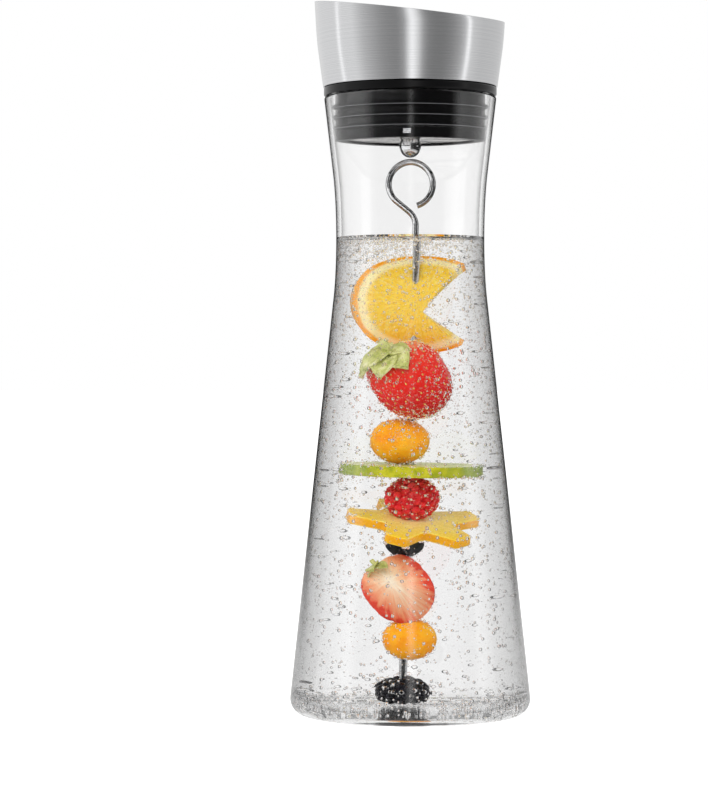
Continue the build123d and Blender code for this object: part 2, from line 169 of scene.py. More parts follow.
def flags(line, box):
    """The boxes between black flags, with a lit line in front, each of some strength."""
    return ramp(bearing, [
        (0.00, 0.05), (0.10, 0.08), (0.15, box), (0.31, box), (0.36, 0.12), (0.46, 0.03), (0.485, 0.05),
        (0.502, line), (0.520, 0.05), (0.55, 0.03), (0.67, 0.05), (0.71, box), (0.735, 0.78 * box),
        (0.80, 0.89 * box), (0.86, 0.89 * box), (0.91, 0.05),
    ])


def lid_flags(line, box):
    """The same seen from the dry neck, where narrower boxes leave the edges of the wire black."""
    return ramp(bearing, [
        (0.00, 0.03), (0.19, 0.03), (0.21, box), (0.32, box), (0.345, 0.03), (0.485, 0.05), (0.502, line),
        (0.520, 0.05), (0.55, 0.03), (0.69, 0.03), (0.71, 0.8 * box), (0.75, 0.8 * box), (0.77, 0.03),
    ])


fall = rise * -1.0
below = ramp(fall, [(0.02, 0.0), (0.06, 1.0)])
steep = ramp(fall, [(0.45, 0.0), (0.6, 1.0)])
under_surface = ramp(fall, [(0.015, 0.0), (0.03, 1.0), (0.06, 1.0), (0.08, 0.0)])
rising = ramp(rise, [(0.095, 0.0), (0.108, 1.0)])
above = ramp(rise, [(0.55, 0.0), (0.75, 1.0)])
at_back = ramp(bearing, [(0.12, 1.0), (0.20, 0.0), (0.80, 0.0), (0.88, 1.0)])
low_side = ramp(bearing, [
    (0.0, 0.9), (0.1, 0.9), (0.14, 0.03), (0.19, 0.03), (0.21, 1.7), (0.45, 1.7), (0.5, 1.2), (0.53, 0.03),
    (0.86, 0.03), (0.92, 0.9),
])
wet_side = ramp(bearing, [
    (0.00, 0.04), (0.10, 0.05), (0.15, 0.95), (0.31, 0.95), (0.36, 0.2), (0.46, 0.03), (0.55, 0.03),
    (0.67, 0.1), (0.71, 0.9), (0.86, 0.9), (0.91, 0.04),
])
clear, black = tone(1.0), tone(0.03)
in_wall = blend(at_back, flags(0.75, 0.9), clear)
in_lid = blend(below, lid_flags(3.0, 1.9), blend(steep, low_side, clear))
in_lid = blend(rising, in_lid, blend(above, lid_flags(0.05, 1.5), clear))
off_disc = ramp(fall, [(0.02, 1.0), (0.05, 0.0), (0.16, 0.0), (0.25, 1.0)])
in_lid = blend(at_back * off_disc, in_lid, black)
off_floor = ramp(rise, [(0.07, 0.0), (0.085, 1.0)]) * at_back
in_water = blend(off_floor, blend(above, blend(under_surface, wet_side, clear), clear), clear)
off_wall = blend(below, flags(0.05, 0.9), in_wall)
rays = add_node(tree, "LightPath")
seen, through, glossy, singular = (
    Signal(rays, f"Is {kind} Ray") for kind in ("Camera", "Transmission", "Glossy", "Singular")
)
walls_crossed = Signal(rays, "Transmission Depth")
out_again = (Signal(rays, "Glossy Depth") > 0.5) * through
at_once = glossy - through
light = add_node(tree, "Background", {"Color": clear, "Strength": 0.62})
white = add_node(tree, "Background", {"Color": clear, "Strength": 1.0})
shown = mix_shader(seen.maths("MAXIMUM", through), light, white)
for share, colour in (
    (out_again * (walls_crossed < 6.5), in_water),
    (out_again * (walls_crossed < 4.5), in_lid),
    (out_again * (walls_crossed < 3.5), in_wall),
    (at_once, soft_boxes),
    (at_once * singular, off_wall),
):
    shown = mix_shader(share, shown, add_node(tree, "Background", {"Color": colour, "Strength": 1.0}))
add_node(tree, "OutputWorld", {"Surface": shown})

# Lamps: two tall soft boxes at the sides, one over the camera and one overhead. They light the fruit and the
# plastic, while the room's own ring is what steel and glass mirror.
lamp_target = Vector((0, 0, 0.15))
for name, place, size, watts in (
    ("left_box", (-1.1, -0.35, 0.45), (0.5, 1.0), 4.2),
    ("right_box", (1.1, -0.25, 0.45), (0.4, 1.0), 3.2),
    ("front_box", (-0.25, -1.5, 0.9), (0.9, 0.6), 12.0),
    ("top_box", (0.0, 0.1, 1.3), (0.9, 0.9), 4.0),
):
    lamp_data = bpy.data.lights.new(name, "AREA")
    lamp_data.shape = "RECTANGLE"
    lamp_data.size, lamp_data.size_y = size
    lamp_data.energy = watts
    lamp = bpy.data.objects.new(name, lamp_data)
    lamp.location = place
    lamp.rotation_euler = (lamp_target - Vector(place)).to_track_quat("-Z", "Y").to_euler()
    lamp.visible_glossy = False
    lamp.visible_transmission = False
    scene.collection.objects.link(lamp)


# Floor: a wide white table top that keeps the soft shadow of the carafe. It is seen a little brighter than it
# is lit, and what steel mirrors inside the glass passes through it to the room.
def make(name, shape, **sizes):
    """Adds one of Blender's basic shapes under a name, and leaves it alone selected."""
    bpy.ops.object.select_all(action="DESELECT")
    getattr(bpy.ops.mesh, f"primitive_{shape}_add")(**sizes)
    piece = bpy.context.object
    piece.name = piece.data.name = name
    return piece


def take_all():
    """Selects all of the edited piece."""
    bpy.ops.mesh.select_all(action="SELECT")


def edit_all():
    """Opens the active piece for editing, with all of it selected."""
    bpy.ops.object.mode_set(mode="EDIT")
    take_all()


def edit_done():
    """Closes the edited piece."""
    bpy.ops.object.mode_set(mode="OBJECT")


def new_finish(name):
    """An empty node material and its tree."""
    finish = bpy.data.materials.new(name)
    finish.use_nodes = True
    finish.node_tree.nodes.clear()
    return finish, finish.node_tree


def show(surface):
    """Makes a surface the one that its material shows."""
    add_node(surface.id_data, "OutputMaterial", {"Surface": surface})


floor = make("floor", "plane", size=60, location=(0, 0, -0.00005))
edit_all()
bpy.ops.mesh.subdivide(number_cuts=4)
edit_done()
finish, tree = new_finish("white_table")
rays = add_node(tree, "LightPath")
through = Signal(rays, "Is Transmission Ray")
board = add_node(tree, "BsdfDiffuse", {"Color": tone(0.86)})
glow = add_node(tree, "Emission", {"Color": clear, "Strength": 0.76})
clean = add_node(tree, "Emission", {"Color": clear, "Strength": 1.0})
table = mix_shader(Signal(rays, "Is Camera Ray"), board, add_node(tree, "AddShader", {0: board, 1: glow}))
table = mix_shader(through, table, clean)
out_again = (Signal(rays, "Glossy Depth") > 0.5) * through
show(mix_shader(out_again, table, add_node(tree, "BsdfTransparent")))
floor.data.materials.append(finish)
floor.visible_glossy = False


# Glass carafe: one blown body, a cone that sweeps through a waist into a flared mouth, with a thick floor
# and a shallow hollow under it. The section is drawn once and turned round the axis.
def draw_section(name, corners):
    """Draws half a cross-section point by point. A corner with a radius and a count is rounded off."""
    piece = make(name, "plane", size=0.001)
    edit_all()
    bpy.ops.mesh.merge(type="CENTER")
    points = [Vector((corner[0], 0, corner[1])) for corner in corners]
    bpy.ops.transform.translate(value=points[0])
    for before, point in zip(points, points[1:]):
        bpy.ops.mesh.extrude_region_move(TRANSFORM_OT_translate={"value": point - before})
    for index, corner in enumerate(corners):
        if len(corner) < 3:
            continue
        bend = (points[index] - points[index - 1]).angle(points[index + 1] - points[index])
        edit = bmesh.from_edit_mesh(piece.data)
        for vert in edit.verts:
            vert.select = (vert.co - points[index]).length < 1e-6
        edit.select_flush_mode()
        bmesh.update_edit_mesh(piece.data)
        bpy.ops.mesh.bevel(offset=corner[2] * math.tan(bend / 2), segments=corner[3], affect="VERTICES")
    return piece


def smooth(angle):
    """Smooths the active piece where its faces meet at less than an angle."""
    bpy.ops.object.shade_smooth_by_angle(angle=math.radians(angle))


def spin_section():
    """Turns the section that is being drawn round the carafe's axis into a closed, smooth piece."""
    take_all()
    bpy.ops.mesh.spin(steps=192, angle=2 * math.pi, center=(0, 0, 0), axis=(0, 0, 1))
    take_all()
    bpy.ops.mesh.remove_doubles(threshold=1e-6)
    bpy.ops.mesh.normals_make_consistent(inside=False)
    edit_done()
    smooth(40)


def see_through(body, tint):
    """Shows a clear body that lets the light of lamps straight through to the fruit."""
    tree = body.id_data
    rays = add_node(tree, "LightPath")
    straight = add_node(tree, "BsdfTransparent", {"Color": tone(tint)})
    for ray in ("Is Shadow Ray", "Is Diffuse Ray"):
        body = mix_shader(Signal(rays, ray), body, straight)
    show(body)


def clear_finish(name, index, shine, painted_edge_shade):
    """Clear glass or liquid whose colour carries painted shade: greyer where it is seen edge on, nearly clear
    on level faces.
    """
    finish, tree = new_finish(name)
    facing = Signal(add_node(tree, "LayerWeight", {"Blend": 0.5}), "Facing")
    upright = split(Signal(add_node(tree, "NewGeometry"), "Normal"))[2]
    see_through(add_node(tree, "BsdfPrincipled", {
        "Base Color": blend(abs(upright) > 0.6, ramp(facing, painted_edge_shade), tone(0.98)), "Roughness": 0.0,
        "IOR": index, "Transmission Weight": 1.0, "Specular IOR Level": shine,
    }), 0.96)
    return finish


inner_corners = [
    (0.0338, 0.258),
    (0.02705, 0.200, 0.2312, 32),
    (0.0489, 0.0032, 0.006, 10),
    (0.0, 0.0040),
]
carafe = draw_section("carafe_body", [
    (0.0, 0.0008),
    (0.0381, 0.0),
    (0.05108, 0.0, 0.007, 12),
    (0.02925, 0.200, 0.229, 32),
    (0.0360, 0.258, 0.0009, 6),
    (0.0338, 0.258, 0.0009, 6),
    *inner_corners[1:],
])
spin_section()
# Painted shade of the glass: its colour greys where the wall is seen edge on.
glass_edge_shade = [(0.0, 1.0), (0.66, 0.98), (0.76, 0.5), (0.84, 0.04)]
carafe.data.materials.append(clear_finish("clear_glass", 1.47, 0.08, glass_edge_shade))
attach(carafe, "carafe")
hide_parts("glass_carafe")

# Sparkling water: it fills the carafe to the waist, presses against the wall and climbs it a little at the
# top edge.
water_level, press, climb = 0.1994, 0.0002, 0.0006
water = draw_section("water", inner_corners)
spin_section()
edit_all()
bpy.ops.transform.shrink_fatten(value=press)
take_all()
bpy.ops.mesh.bisect(plane_co=(0, 0, water_level), plane_no=(0, 0, 1), clear_outer=True, use_fill=True)
for width in (0.0008, 0.0012, 0.0020):
    bpy.ops.mesh.inset(thickness=width, use_even_offset=True)
bpy.ops.transform.translate(value=(0, 0, -climb))
bpy.ops.mesh.poke()
edit_done()
smooth(50)
# Painted shade of the water: its colour greys towards the edges that are seen edge on.
water.data.materials.append(clear_finish("still_water", 1.33, 0.0, [
    (0.0, 1.0), (0.048, 0.96), (0.087, 0.88), (0.117, 0.81), (0.144, 0.73), (0.175, 0.66), (0.21, 0.54),
    (0.26, 0.30), (0.36, 0.9),
]))
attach(water, "carafe")


# Lid collar: flared stainless sheet, brushed round its axis and cut off on a slant, pressed on to the core.
def modify(piece, kind, **settings):
    """Adds a modifier to the active piece and applies it."""
    modifier = piece.modifiers.new(kind.lower(), kind)
    for name, value in settings.items():
        setattr(modifier, name, value)
    bpy.ops.object.modifier_apply(modifier=modifier.name)


def coords(tree):
    """Places in the shared frame, where every piece has its origin."""
    return Signal(add_node(tree, "TexCoord"), "Object")


def stripes(measure, detail):
    """Noise from 0 to 1 along one measure."""
    inputs = {"W": measure, "Scale": 1.0, "Detail": detail}
    return Signal(add_node(measure.tree, "TexNoise", inputs, noise_dimensions="1D"))


def skin(colour, rough, height, strength, depth, more=()):
    """A surface with a colour, a roughness and a fine relief, and more of the principled shader's inputs."""
    relief = add_node(colour.tree, "Bump", {"Strength": strength, "Distance": depth, "Height": height})
    return add_node(colour.tree, "BsdfPrincipled", {
        "Base Color": colour, "Roughness": rough, "Normal": relief, **dict(more),
    })


def steel_finish(name, pale, roughness, line_scale, depth):
    """Bare steel with fine level lines, as grey as pale from 0 to 255 where the lines are brightest."""
    finish, tree = new_finish(name)
    lines = stripes(split(coords(tree))[2] * line_scale, 4.0)
    cloud = Signal(add_node(tree, "TexNoise", {"Scale": 60.0, "Detail": 3.0}))
    colour = ramp(lines, [(0.3, pale - 26, pale - 25, pale - 23), (0.7, pale, pale, pale + 1)])
    rough = lines * (roughness * 0.5) + roughness * 0.6 + cloud * (roughness * 0.3)
    show(skin(colour, rough, lines, 0.25, depth, {
        "Metallic": 1.0, "Anisotropic": 0.8, "Anisotropic Rotation": 0.25,
        "Tangent": add_node(tree, "Tangent", direction_type="RADIAL", axis="Z"),
    }))
    return finish


brushed_steel = steel_finish("brushed_steel", 222, 0.2, 5200.0, 0.00001)
collar = draw_section("lid_collar", [
    (0.0364, 0.2620), (0.0390, 0.2810, 0.12, 24), (0.0401, 0.3000),
])
spin_section()
edit_all()
bpy.ops.mesh.bisect(plane_co=(0, 0, 0.29354), plane_no=(0.1111, -0.0838, 0.9903), clear_outer=True)
edit_done()
modify(collar, "SOLIDIFY", thickness=0.0008, offset=-1)
modify(collar, "BEVEL", width=0.00018, segments=2, angle_limit=math.radians(50))
smooth(60)
collar.data.materials.append(brushed_steel)
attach(collar, "lid")
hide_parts("steel_collar")


# Lid plastic and rubber: a moulded black core and a soft black sleeve with a flange and three lips. The lips'
# edges carry a painted highlight, a thin pale line where they catch the light.
def noise(place, scale, detail, distortion=0.0):
    """Noise from 0 to 1 over places."""
    return Signal(add_node(place.tree, "TexNoise", {
        "Vector": place, "Scale": scale, "Detail": detail, "Distortion": distortion,
    }))


def black_finish(name, colour, roughness, shine, grain, depth, edges):
    """Black moulding with a fine grain that breaks up its sheen, and a painted highlight, a pale line, at each
    height in edges.
    """
    finish, tree = new_finish(name)
    place = coords(tree)
    height = split(place)[2]
    speck = noise(place, grain, 4.0)
    dim = (*(0.7 * part for part in colour[:3]), 1)
    shade = blend(ramp(noise(place, 45.0, 2.0), [(0.3, 0.0), (0.7, 1.0)]), dim, colour)
    for edge in edges:
        # Painted highlight: a pale line at each edge height.
        shade = blend(abs(height - edge) < 0.00016, shade, tone(92, 92, 94))
    rough = speck * 0.2 + (roughness - 0.1)
    show(skin(shade, rough, speck, 0.3, depth, {"Specular IOR Level": shine}))
    return finish


def dress(node, finish):
    """Gives a CAD node that stays in view its own finish."""
    nodes[node].data.materials.clear()
    nodes[node].data.materials.append(finish)


dress("stopper_core", black_finish("black_plastic", tone(8, 8, 9), 0.34, 0.15, 2600.0, 0.00001, []))
# Heights of the painted highlights on the sleeve's lip edges.
lip_highlight_heights = [0.2440 + 0.0042 * lip for lip in range(3)]
dress("sealing_sleeve", black_finish(
    "black_silicone", tone(6, 6, 7), 0.2, 0.2, 1800.0, 0.000002, lip_highlight_heights,
))

# Small steel parts of the lid and the flap: turned, polished and screwed or pressed together. The stop tab is
# a stamping with a duller face.
polished_steel = steel_finish("polished_steel", 204, 0.04, 900.0, 0.000002)
for node in ("pivot_pins", "hinge_lugs", "knob_screw"):
    dress(node, polished_steel)
dress("stop_tab", steel_finish("satin_steel", 160, 0.13, 2400.0, 0.000004))

# Ball: a polished steel ball with a flat on top, drawn up to the disc by the screw. It holds the skewer's eye.
ball_radius, ball_middle, flap_underside = 0.0045, 0.2370, 0.23945
knob = make("steel_ball", "uv_sphere", segments=96, ring_count=64, radius=ball_radius,
            location=(0, 0, ball_middle))
bpy.ops.object.transform_apply()
edit_all()
bpy.ops.mesh.bisect(plane_co=(0, 0, flap_underside), plane_no=(0, 0, 1), clear_outer=True, use_fill=True)
bpy.ops.mesh.inset(thickness=0.0004)
edit_done()
smooth(30)
knob.data.materials.append(polished_steel)
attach(knob, "flap")
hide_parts("ball_knob")


# Flap disc: stainless sheet, turned on a lathe, with a painted reflection in its colour and specular tint: a
# fan of dark and bright streaks such as its fine rings catch in the light.
def polar_parts(place):
    """How far places are from their piece's own axis, and at what angle round it."""
    x, y = split(place)[:2]
    return (x * x + y * y).maths("SQRT"), y.maths("ARCTAN2", x)


def stir(value, pattern, amount):
    """A value made uneven by a pattern of 0 to 1."""
    return value + (pattern - 0.5) * amount


finish, tree = new_finish("disc_steel")
far, around = polar_parts(coords(tree))
rings = stripes(far * 6000.0, 4.0)
fan = stir(stripes(around * 3.2, 3.0), rings, 0.2)
# Painted reflection: dark and bright streaks fanned round the disc's axis, also used as its specular tint.
painted_reflection_streaks = ramp(fan, [(0.36, 20, 20, 21), (0.43, 170, 170, 172), (0.52, 240, 239, 237)])
show(skin(painted_reflection_streaks, rings * 0.15 + 0.12, rings, 0.25, 0.00001, {"Specular Tint": painted_reflection_streaks, "Metallic": 1.0}))
dress("flap_disc", finish)

# Fruit skewer: one bent stainless wire with an open eye that hangs from the ball, and a pointed tip. The
# fruit is threaded on its stem from the tip upwards.
stem_lean = math.radians(1.4)
stem_tip = Vector((-0.00252, 0, 0.00699))
upright_on_stem = (0, stem_lean, 0)
dress("fruit_skewer", polished_steel)


def on_stem(height, across=0.0, forward=0.0):
    """A place so far up the stem from its tip, and so far to its right and to its front."""
    up = Vector((math.sin(stem_lean), 0, math.cos(stem_lean)))
    right = Vector((math.cos(stem_lean), 0, -math.sin(stem_lean)))
    return stem_tip + up * height + right * across - Vector((0, forward, 0))


def pick(*pieces):
    """Selects pieces, with the first of them active."""
    bpy.ops.object.select_all(action="DESELECT")
    for piece in pieces:
        piece.select_set(True)
    bpy.context.view_layer.objects.active = pieces[0]


def seat(piece, place, turn):
    """Moves a piece made at the origin to its place on the stem, and keeps that place in its mesh."""
    pick(piece)
    piece.matrix_world = Matrix.Translation(place) @ Euler(turn).to_matrix().to_4x4()
    bpy.ops.object.transform_apply()


def copies(name, source, places):
    """Copies a small piece to many places, each (place, turn, scale), as one piece. The source goes."""
    bpy.ops.object.select_all(action="DESELECT")
    for place, turn, scale in places:
        copy = source.copy()
        copy.data = source.data.copy()
        copy.matrix_world = Matrix.LocRotScale(Vector(place), turn, Vector(scale))
        scene.collection.objects.link(copy)
        copy.select_set(True)
        bpy.context.view_layer.objects.active = copy
    bpy.ops.object.join()
    bpy.ops.object.transform_apply()
    piece = bpy.context.object
    piece.name = piece.data.name = name
    bpy.data.objects.remove(source)
    return piece


def join(name, *pieces):
    """Joins finished pieces into one, keeping each one's finish."""
    pick(*pieces)
    bpy.ops.object.join()
    pieces[0].name = pieces[0].data.name = name
    return pieces[0]


def bench_coords(tree, place, turn):
    """Object coordinates turned back to where a fruit was made, so that a pattern follows its own middle."""
    inputs = {"Vector": coords(tree), "Location": place, "Rotation": turn}
    return Signal(add_node(tree, "Mapping", inputs, vector_type="TEXTURE"))


def ball(name, radius, segments, rings):
    """A round ball at the origin, to be shaped."""
    piece = make(name, "uv_sphere", segments=segments, ring_count=rings, radius=radius)
    bpy.ops.object.shade_smooth()
    return piece


def small_ball(name, radius, subdivisions):
    """A small round ball of few faces at the origin, to be copied."""
    piece = make(name, "ico_sphere", subdivisions=subdivisions, radius=radius)
    bpy.ops.object.shade_smooth()
    return piece


def polar(reach, angle, height):
    """A place so far from the upright axis, at an angle round it and a height."""
    return Vector((reach * math.cos(angle), reach * math.sin(angle), height))


def middle(node):
    """The middle of a CAD node's box."""
    low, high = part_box(node)
    return (Vector(low) + Vector(high)) / 2


# Bramble and raspberry: clusters of moist round drupelets on a soft core, one black and one deep pink.
golden_turn = 2.39996


def cluster(name, node, half_width, half_height, count, size, sink, seed, full):
    """Drupelets in a close spiral over an egg-shaped core. A higher full makes the lower half squarer."""
    chance = random.Random(seed)
    core = ball(name, 1.0, 24, 16)
    core.scale = (half_width - size, half_width - size, half_height - size)
    bpy.ops.object.transform_apply(location=False, rotation=False, scale=True)
    drupelet = small_ball("drupelet", size, 2)
    places = []
    for index in range(count):
        up = 1 - 2 * (index + 0.5) / count
        angle = index * golden_turn + chance.uniform(-0.12, 0.12)
        out = math.sqrt(1 - abs(up) ** (full if up < 0 else 2))
        spot = polar((half_width - size * 0.95) * out, angle, (half_height - size * 0.95) * up)
        bulge = chance.uniform(0.88, 1.06)
        places.append((spot, Euler((0, 0, angle)), (bulge, bulge, bulge)))
    berry = join(name, core, copies("drupelets", drupelet, places))
    seat(berry, middle(node) - Vector((0, 0, sink)), upright_on_stem)
    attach(berry, "skewer")
    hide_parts(node)
    return berry


def berry_finish(name, dark, bright, roughness, patch):
    """Moist berry skin that changes a little from drupelet to drupelet."""
    finish, tree = new_finish(name)
    place = coords(tree)
    blotch = noise(place, patch, 3.0)
    colour = ramp(blotch, [(0.32, *dark), (0.68, *bright)])
    show(skin(colour, blotch * 0.25 + (roughness - 0.1), noise(place, 2500.0, 2.0), 0.25, 0.00004, {
        "Coat Weight": 0.15, "Coat Roughness": 0.12, "Specular IOR Level": 0.35,
    }))
    return finish


bramble = cluster("bramble_berry", "bramble", half_width=0.0089, half_height=0.0061, count=58, size=0.0019,
                  sink=0.0, seed=3, full=5)
bramble.data.materials.append(berry_finish("bramble_skin", (6, 6, 9), (22, 21, 30), 0.3, 420.0))
raspberry = cluster("raspberry_fruit", "raspberry", half_width=0.0089, half_height=0.0094, count=104,
                    size=0.0016, sink=0.0009, seed=5, full=2)
raspberry.data.materials.append(berry_finish("raspberry_skin", (186, 8, 22), (240, 44, 48), 0.36, 380.0))

# Physalis: two smooth golden berries with a thin waxy skin, a small dent at one end and pale specks.
golden_skin, tree = new_finish("physalis_skin")
place = coords(tree)
blotch = noise(place, 160.0, 4.0)
golden = ramp(blotch, [(0.3, 244, 144, 2), (0.55, 254, 172, 14), (0.75, 255, 192, 44)])
pores = Signal(add_node(tree, "TexVoronoi", {"Vector": place, "Scale": 900.0}), "Distance")
specks = ramp(pores, [(0.12, 0.25), (0.3, 0.0)])
show(skin(blend(specks, golden, tone(255, 206, 90)), blotch * 0.2 + 0.28, blotch, 0.3, 0.00006, {
    "Subsurface Weight": 0.15, "Subsurface Radius": (0.004, 0.002, 0.0005), "Subsurface Scale": 1.0,
    "Specular IOR Level": 0.3,
}))


def physalis(name, node, radius, lean):
    """One golden berry, pressed a little out of round."""
    berry = ball(name, radius, 64, 40)
    for vert in berry.data.vertices:
        end = max(0.0, abs(vert.co.z) / radius - 0.9) / 0.1
        vert.co.z *= 1 - 0.06 * end * end
    seat(berry, middle(node), (0.5 + lean, 0.3 * lean, 0))
    berry.data.materials.append(golden_skin)
    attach(berry, "skewer")
    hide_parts(node)
    return berry


golden_small = physalis("golden_berry_small", "small_physalis", radius=0.0086, lean=0.2)
golden_large = physalis("golden_berry_large", "large_physalis", radius=0.0094, lean=0.9)

# Blueberry: a small round berry, blue black with a pale bloom and a five-pointed crown on top.
blue_radius, blue_squash = 0.0062, 0.84
blue = ball("blue_berry", blue_radius, 48, 32)
for vert in blue.data.vertices:
    around = math.atan2(vert.co.y, vert.co.x)
    top = max(0.0, vert.co.z / blue_radius - 0.86) / 0.14
    vert.co.z += 0.0005 * math.sin(top * math.pi) * (0.6 + 0.4 * math.cos(5 * around)) - 0.0010 * top ** 3
    vert.co.z *= blue_squash
seat(blue, middle("blueberry"), (0.2, stem_lean, 0))
blue.data.materials.append(berry_finish("blueberry_skin", (4, 4, 7), (16, 17, 25), 0.5, 500.0))
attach(blue, "skewer")
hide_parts("blueberry")


# Strawberries: one whole and one cut in half, each with a green leaf cap. The skin is dimpled, with a small
# pale seed in each dimple, and the half shows its pink flesh and pale core to the front.
def berry_reach(height, length, radius, calyx):
    """How far a strawberry's skin is from its own axis at a height above its middle."""
    belly = length * 0.075
    if height > belly:
        share = min(1.0, (height - belly) / (length / 2 - belly))
        return calyx + (radius - calyx) * math.sqrt(max(0.0, 1 - share ** 2.4))
    share = min(1.0, (belly - height) / (length / 2 + belly))
    return radius * (1 - share ** 2.7) ** 0.55


seed_radius, seed_sink, dimple_depth, dimple_radius = 0.0005, 0.00042, 0.00055, 0.0008
sorting_line = Vector((0.8131, 0.4937, 0.3079))


def settle(piece):
    """Gives a cut mesh a fixed order of points and faces. Cutting leaves one that changes from run to run."""
    mesh = piece.data
    order = sorted(mesh.vertices, key=lambda vert: vert.co.dot(sorting_line))
    rank = {vert.index: new_index for new_index, vert in enumerate(order)}
    points = [tuple(vert.co) for vert in order]
    faces = []
    for face in mesh.polygons:
        corners = [rank[index] for index in face.vertices]
        first = corners.index(min(corners))
        faces.append(corners[first:] + corners[:first])
    mesh.clear_geometry()
    mesh.from_pydata(points, [], sorted(faces), shade_flat=False)


def strawberry(name, length, radius, calyx, seed_count, half):
    """A strawberry at the origin, its calyx up. A half keeps the side behind its cut face."""
    body = ball(name, 1.0, 112, 88)
    for vert in body.data.vertices:
        height = vert.co.z * length / 2
        flat = Vector((vert.co.x, vert.co.y, 0))
        if flat.length > 1e-6:
            flat = flat.normalized() * berry_reach(height, length, radius, calyx)
        vert.co = (flat.x, flat.y, height)
    spots = []
    for index in range(seed_count):
        up = 1 - 2 * (index + 0.5) / seed_count
        height = 0.96 * up * length / 2
        reach = berry_reach(height, length, radius, calyx)
        slope = (berry_reach(height + 1e-4, length, radius, calyx) - reach) / 1e-4
        angle = index * golden_turn
        spots.append((polar(reach, angle, height), polar(1.0, angle, -slope).normalized()))
    tree = kdtree.KDTree(len(spots))
    for index, (spot, _) in enumerate(spots):
        tree.insert(spot, index)
    tree.balance()
    for vert in body.data.vertices:
        _, index, far = tree.find(vert.co)
        vert.co -= spots[index][1] * dimple_depth * math.exp(-((far / dimple_radius) ** 2))
    places = [
        (spot - out * seed_sink, out.to_track_quat("Y", "Z"), (0.75, 0.55, 1.25))
        for spot, out in spots if not half or spot.y >= 0.0006
    ]
    seeds = copies(name + "_seeds", small_ball("seed", seed_radius, 1), places)
    if half:
        pick(body)
        edit_all()
        bpy.ops.mesh.bisect(plane_co=(0, 0.00003, 0), plane_no=(0, -1, 0), clear_outer=True, use_fill=True,
                            threshold=1e-7)
        edit_done()
        settle(body)
    return body, seeds


def strawberry_finish(name, place, turn, length):
    """Glossy red skin, paler near the calyx. Also gives the berry's own coordinates, and isn't shown yet."""
    finish, tree = new_finish(name)
    local = bench_coords(tree, place, turn)
    blotch = noise(local, 260.0, 4.0)
    up = stir(split(local)[2] / length + 0.5, blotch, 0.25)
    red = ramp(up, [(0.0, 190, 10, 8), (0.5, 226, 26, 16), (0.85, 238, 56, 30), (1.0, 246, 150, 100)])
    return finish, local, skin(red, blotch * 0.25 + 0.22, blotch, 0.3, 0.0001, {
        "Coat Weight": 0.1, "Coat Roughness": 0.15, "Specular IOR Level": 0.35,
    })


leaf_green, tree = new_finish("leaf_green")
blotch = noise(coords(tree), 420.0, 4.0)
leaf_tones = ramp(blotch, [(0.25, 158, 168, 78), (0.5, 206, 208, 128), (0.8, 238, 234, 190)])
show(skin(leaf_tones, 0.45, blotch, 0.5, 0.0001))


def leaf_cap(name, node, reach, count, place, turn, seed):
    """A cap of pointed leaves that curl up from a short stalk. One leaf is shaped and copied round."""
    chance = random.Random(seed)
    leaf = make("leaf", "grid", x_subdivisions=10, y_subdivisions=6, size=1)
    for vert in leaf.data.vertices:
        along = vert.co.x + 0.5
        across = vert.co.y * 2
        width = 0.34 * math.sin(math.pi * min(1.0, along * 0.9 + 0.1)) ** 0.8
        fold = 0.10 * abs(across)
        bend = 1.25 * along
        vert.co = (0.8 * math.sin(bend), across * width, fold - 0.55 * (1 - math.cos(bend)) + 0.04)
    modify(leaf, "SOLIDIFY", thickness=0.05)
    bpy.ops.object.shade_smooth()
    places = []
    for index in range(count):
        angle = 2 * math.pi * index / count + chance.uniform(-0.18, 0.18)
        size = reach * chance.uniform(0.8, 1.0) * (1 + 0.45 * math.cos(angle - math.radians(215)))
        turned = Euler((chance.uniform(-0.3, 0.3), chance.uniform(-0.5, 0.1), angle))
        places.append(((0, 0, 0), turned, (size, size, size)))
    leaves = copies(name + "_leaves", leaf, places)
    stalk = make("stalk", "cylinder", vertices=10, radius=reach * 0.13, depth=reach * 0.5,
                 location=(0, 0, reach * 0.25))
    edit_all()
    bpy.ops.mesh.bevel(offset=reach * 0.03, segments=2, affect="EDGES")
    edit_done()
    bpy.ops.object.transform_apply()
    smooth(60)
    cap = join(name, leaves, stalk)
    seat(cap, place, turn)
    cap.data.materials.append(leaf_green)
    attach(cap, "skewer")
    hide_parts(node)


straw_seed, tree = new_finish("strawberry_seed")
husk = ramp(noise(coords(tree), 700.0, 2.0), [(0.35, 196, 120, 40), (0.65, 240, 206, 110)])
show(add_node(tree, "BsdfPrincipled", {"Base Color": husk, "Roughness": 0.5}))

whole_length = 0.031
whole_place, whole_turn = on_stem(0.13179, -0.0004, 0.0094), (0, stem_lean - math.radians(28), 0)
whole, seeds = strawberry("strawberry_whole", whole_length, radius=0.0135, calyx=0.0034, seed_count=210,
                          half=False)
finish, _, red_skin = strawberry_finish("strawberry_skin", whole_place, whole_turn, whole_length)
show(red_skin)
whole.data.materials.append(finish)
seeds.data.materials.append(straw_seed)
whole = join("strawberry_whole", whole, seeds)
seat(whole, whole_place, whole_turn)
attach(whole, "skewer")
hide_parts("strawberry")
cap_turn = (0.42, whole_turn[1] - 0.12, 0)
cap_place = whole_place + Euler(cap_turn).to_matrix() @ Vector((0, 0, 1)) * 0.0150
leaf_cap("strawberry_cap", "strawberry_leaves", 0.0135, 9, cap_place, cap_turn, seed=11)

